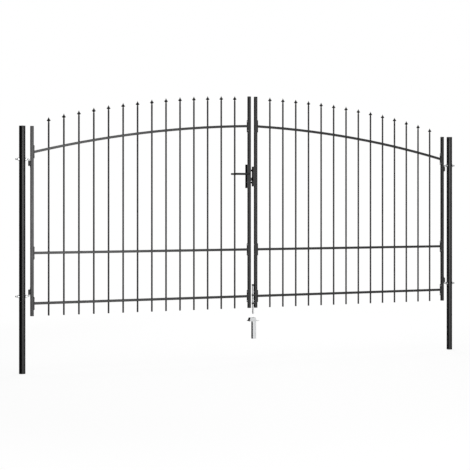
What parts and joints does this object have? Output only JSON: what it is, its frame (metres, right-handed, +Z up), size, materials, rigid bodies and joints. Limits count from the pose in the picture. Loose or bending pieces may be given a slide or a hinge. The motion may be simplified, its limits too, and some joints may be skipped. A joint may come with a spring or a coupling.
{
  "type": "double fence gate",
  "caption": "Arched double-leaf fence gate of round bars with spear tips, hung on round posts, with a lever lock, a drop bolt and its ground socket.",
  "frame": {"origin": "middle of the left post's foot, on its flat lower end", "axes": "+X along the closed gate from the left post to the right post, +Y away from the viewer, the way the leaves open, +Z up"},
  "size_m": [4.058, 0.116, 2.25],
  "materials": {
    "black_coat": "black powder coat, satin",
    "zinc_plate": "bright zinc plate",
    "cap_plastic": "moulded black polyethylene",
    "buffer_rubber": "moulded black rubber",
    "lock_steel": "blackened steel"
  },
  "bodies": {
    "posts": {"left_post": "black_coat", "left_post_cap": "cap_plastic", "left_upper_hinge_hook": "zinc_plate", "left_upper_hinge_nuts": "zinc_plate", "left_lower_hinge_hook": "zinc_plate", "left_lower_hinge_nuts": "zinc_plate", "right_post": "black_coat", "right_post_cap": "cap_plastic", "right_upper_hinge_hook": "zinc_plate", "right_upper_hinge_nuts": "zinc_plate", "right_lower_hinge_hook": "zinc_plate", "right_lower_hinge_nuts": "zinc_plate", "ground_socket_plate": "zinc_plate", "ground_socket_tube": "zinc_plate"},
    "left_leaf": {"left_outer_stile": "black_coat", "left_inner_stile": "black_coat", "left_panel": "black_coat", "left_spear_tips": "black_coat", "left_flange_plates": "black_coat", "left_stile_caps": "cap_plastic", "left_upper_knuckle": "black_coat", "left_lower_knuckle": "black_coat", "lock_case": "black_coat", "lock_cylinder": "lock_steel"},
    "right_leaf": {"right_outer_stile": "black_coat", "right_inner_stile": "black_coat", "right_panel": "black_coat", "right_spear_tips": "black_coat", "right_flange_plates": "black_coat", "right_stile_caps": "cap_plastic", "right_upper_knuckle": "black_coat", "right_lower_knuckle": "black_coat", "keeper": "black_coat", "keeper_buffers": "buffer_rubber", "drop_bolt_guides": "black_coat"},
    "lever": {"front_lever": "black_coat", "back_lever": "black_coat", "lever_spindle": "zinc_plate"},
    "latch": {"latch_bolt": "lock_steel"},
    "drop_bolt": {"drop_bolt_rod": "zinc_plate", "drop_bolt_knob": "cap_plastic"}
  },
  "joints": [
    {"name": "left_leaf_swing", "type": "hinge", "parent": "posts", "child": "left_leaf", "pos_m": [0.055, 0, 1], "axis": [0, 0, 1], "range_deg": [0, 95]},
    {"name": "right_leaf_swing", "type": "hinge", "parent": "posts", "child": "right_leaf", "pos_m": [3.895, 0, 1], "axis": [0, 0, -1], "range_deg": [0, 95]},
    {"name": "lever_turn", "type": "hinge", "parent": "left_leaf", "child": "lever", "pos_m": [1.9265, 0, 1.59], "axis": [0, -1, 0], "range_deg": [0, 40], "stiffness_Nm_per_rad": 1.2, "springref_deg": -34.38},
    {"name": "latch_slide", "type": "slide", "parent": "left_leaf", "child": "latch", "axis": [-1, 0, 0], "range_m": [0, 0.01]},
    {"name": "drop_bolt_slide", "type": "slide", "parent": "right_leaf", "child": "drop_bolt", "axis": [0, 0, 1], "range_m": [-0.06, 0]}
  ],
  "couplings": [
    {"joint": "latch_slide", "follows": "lever_turn", "m_per_rad": 0.0143}
  ]
}
